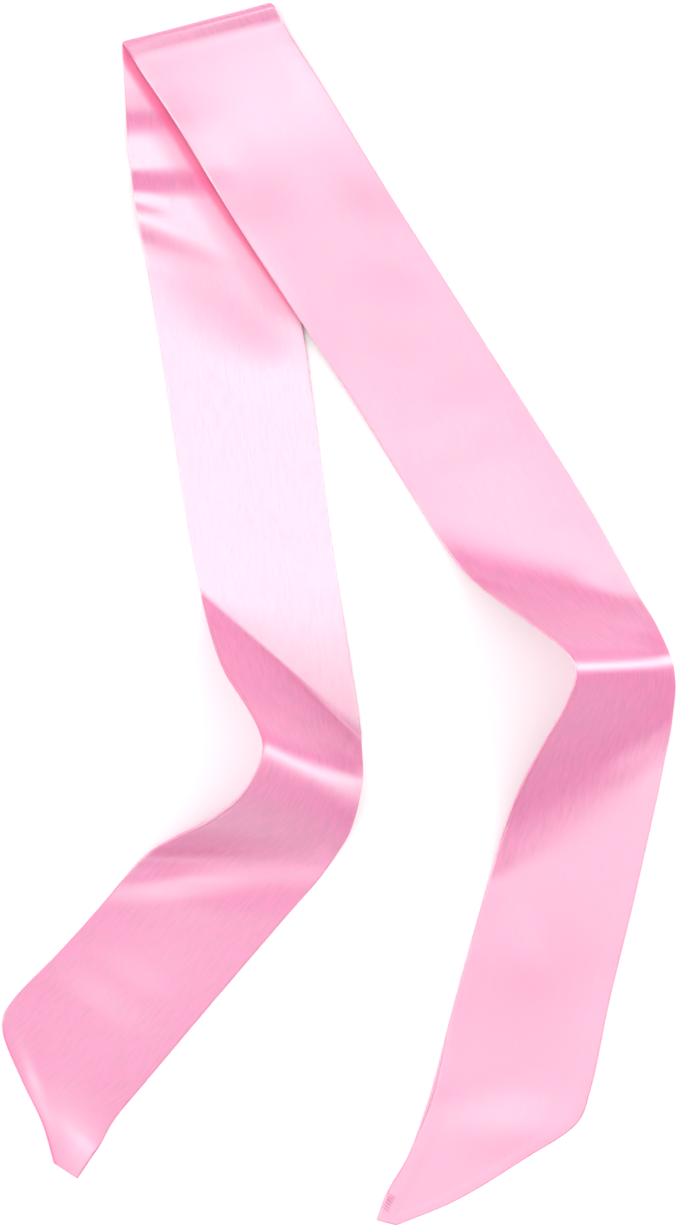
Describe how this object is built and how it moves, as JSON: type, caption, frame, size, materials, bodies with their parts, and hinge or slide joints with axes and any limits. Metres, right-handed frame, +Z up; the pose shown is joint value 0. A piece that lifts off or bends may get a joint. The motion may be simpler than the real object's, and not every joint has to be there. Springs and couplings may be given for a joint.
{
  "type": "skinny scarf",
  "caption": "Long narrow satin scarf, a flat tube with slanted ends, laid flat and folded over once, each tail bending to the side with its inner edge standing up in an arch.",
  "frame": {"origin": "on the surface that the scarf lies on, below the middle of its bounding box", "axes": "+Y towards the fold, +X towards the side where the top stretch ends, +Z up from the surface"},
  "size_m": [0.3735, 0.6785, 0.0664],
  "materials": {
    "front_satin": "satin weave with a soft sheen",
    "back_satin": "satin weave with a soft sheen"
  },
  "bodies": {
    "root": {"front_panel": "front_satin", "back_panel": "back_satin"}
  },
  "joints": []
}
